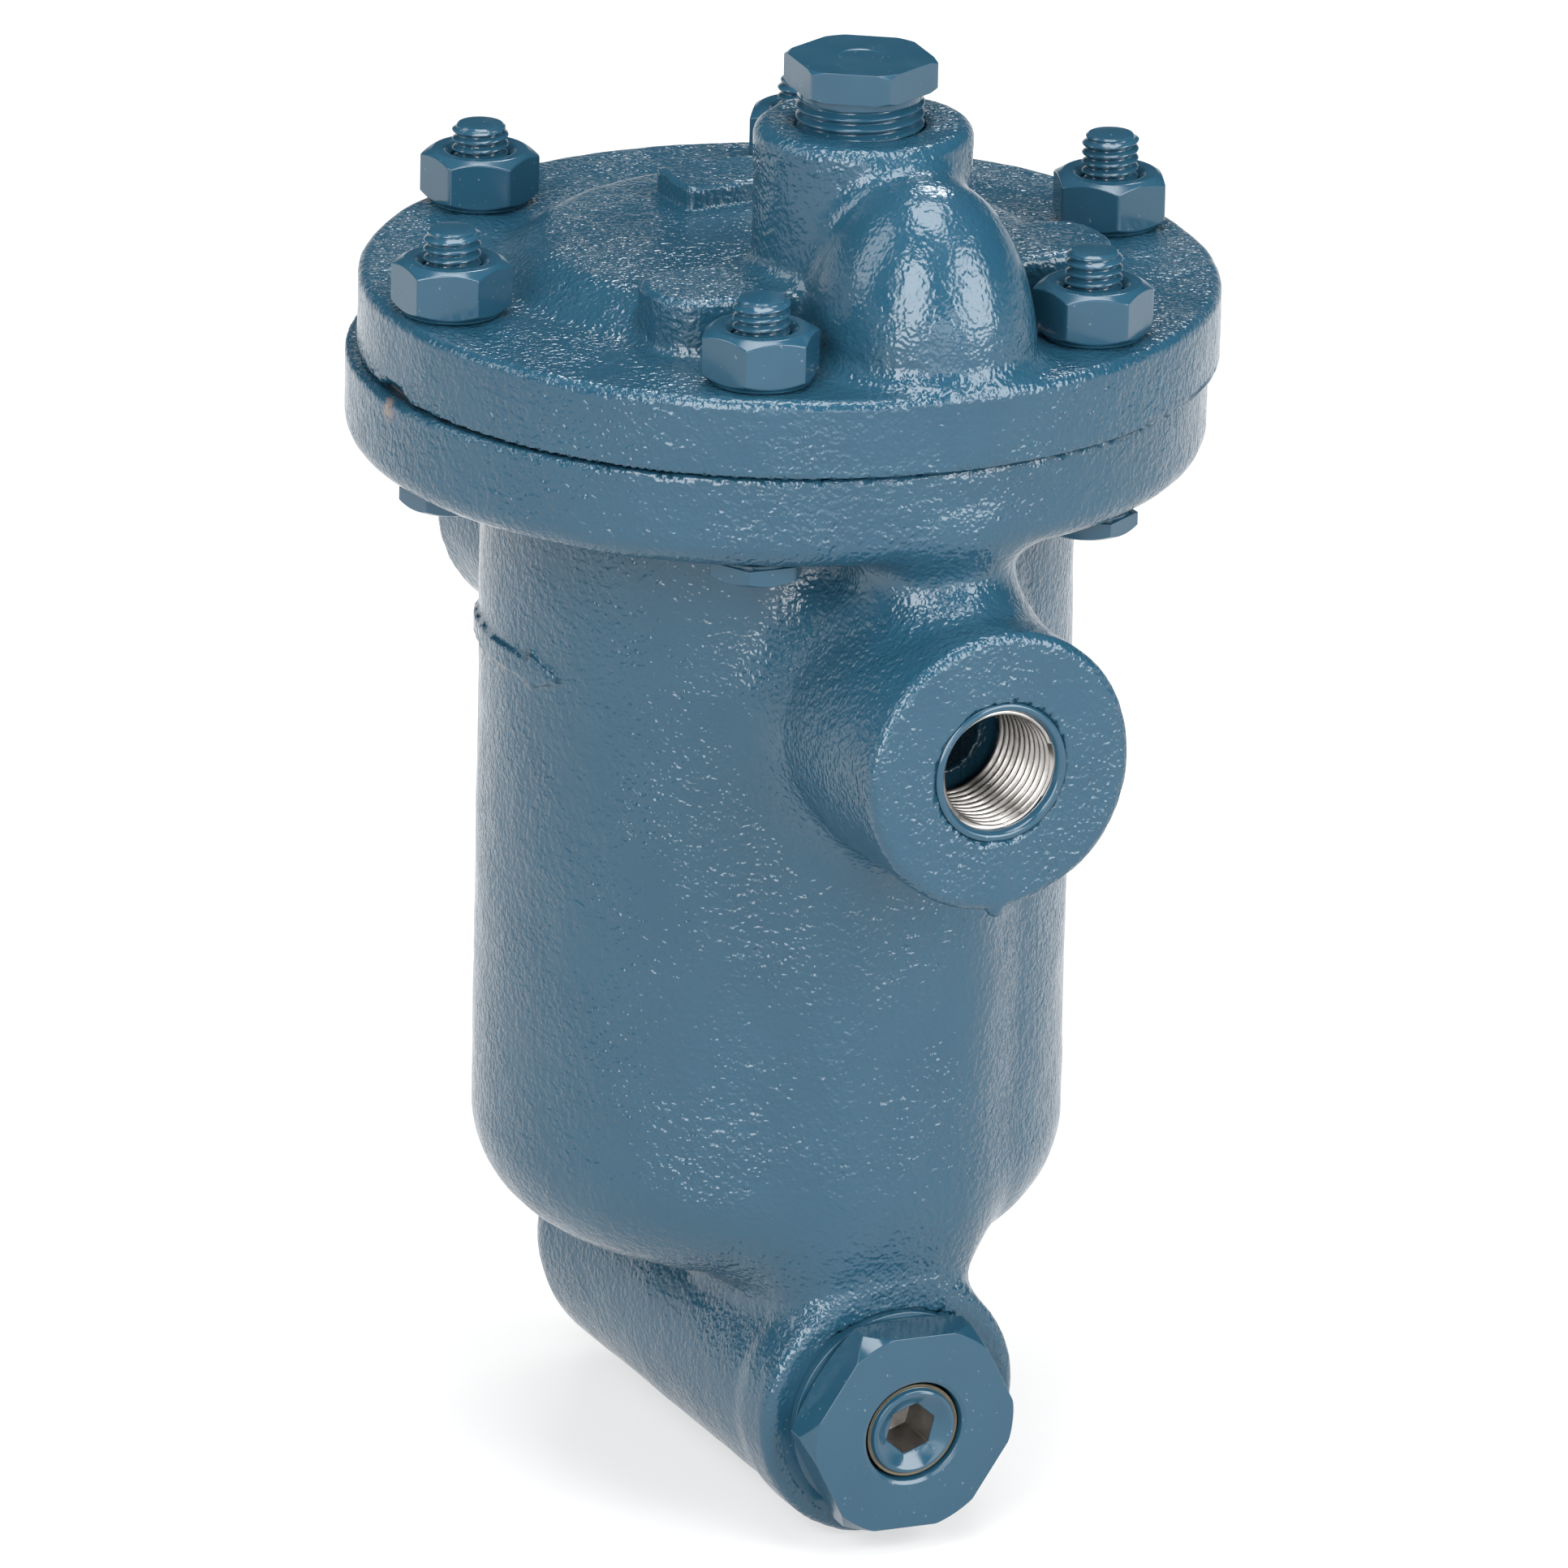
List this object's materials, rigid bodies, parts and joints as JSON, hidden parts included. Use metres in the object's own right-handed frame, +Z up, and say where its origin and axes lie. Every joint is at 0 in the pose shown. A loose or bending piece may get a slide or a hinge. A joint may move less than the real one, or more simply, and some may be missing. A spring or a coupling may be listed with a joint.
{
  "type": "steam trap",
  "caption": "Inverted bucket steam trap in painted cast iron, with a bolted cap, in-line threaded ports and a built-in strainer.",
  "frame": {"origin": "centre of the inlet port's face, on the pipe line; the inlet mount's point is 0.8 mm further in, where the thread's wall begins behind its lead-in chamfer", "axes": "+X along the pipe line in the direction of flow, +Z up along the body axis towards the cap; the body axis is at X = 82.5 mm"},
  "size_m": [0.165, 0.1441, 0.2519],
  "materials": {
    "cast_paint": "blue-grey gloss enamel over sand-cast iron",
    "bolt_paint": "blue-grey gloss enamel over machined steel",
    "plain_steel": "bare machined steel",
    "stainless": "pressed and turned stainless steel",
    "gasket": "dark compressed-fibre sheet"
  },
  "bodies": {
    "trap_body": {"body": "cast_paint", "inlet_tube": "stainless", "cap_gasket": "gasket", "cap_bolts": "bolt_paint"},
    "cap_assembly": {"cap": "cast_paint", "cap_nuts": "bolt_paint", "valve_seat": "stainless", "guide_bracket": "stainless", "guide_pins": "stainless", "bracket_screws": "stainless"},
    "bucket": {"bucket_shell": "stainless", "bucket_weight_ring": "plain_steel", "bucket_clip": "stainless", "clip_rivets": "plain_steel"},
    "valve_lever": {"lever": "stainless", "valve": "stainless", "valve_retainer": "plain_steel"},
    "test_plug": {"test_plug": "bolt_paint"},
    "strainer_insert": {"strainer_cap": "bolt_paint", "strainer_gasket": "gasket", "strainer_screen": "stainless", "screen_rims": "stainless"},
    "blowdown_plug": {"blowdown_plug": "plain_steel"}
  },
  "joints": [
    {"name": "cap_lift", "type": "slide", "parent": "trap_body", "child": "cap_assembly", "axis": [0, 0, 1], "range_m": [0, 0.15]},
    {"name": "bucket_rise", "type": "slide", "parent": "cap_assembly", "child": "bucket", "axis": [0, 0, 1], "range_m": [0, 0.01]},
    {"name": "lever_swing", "type": "hinge", "parent": "cap_assembly", "child": "valve_lever", "pos_m": [0.119, 0, 0.0437], "axis": [0, 1, 0], "range_deg": [0, 15]},
    {"name": "test_plug_lift", "type": "slide", "parent": "cap_assembly", "child": "test_plug", "axis": [0, 0, 1], "range_m": [0, 0.025]},
    {"name": "strainer_pull", "type": "slide", "parent": "trap_body", "child": "strainer_insert", "axis": [0.9969, 0, -0.0785], "range_m": [0, 0.1]},
    {"name": "blowdown_pull", "type": "slide", "parent": "strainer_insert", "child": "blowdown_plug", "axis": [0.9969, 0, -0.0785], "range_m": [0, 0.02]}
  ],
  "couplings": [
    {"joint": "lever_swing", "follows": "bucket_rise", "rad_per_m": 26.18}
  ]
}
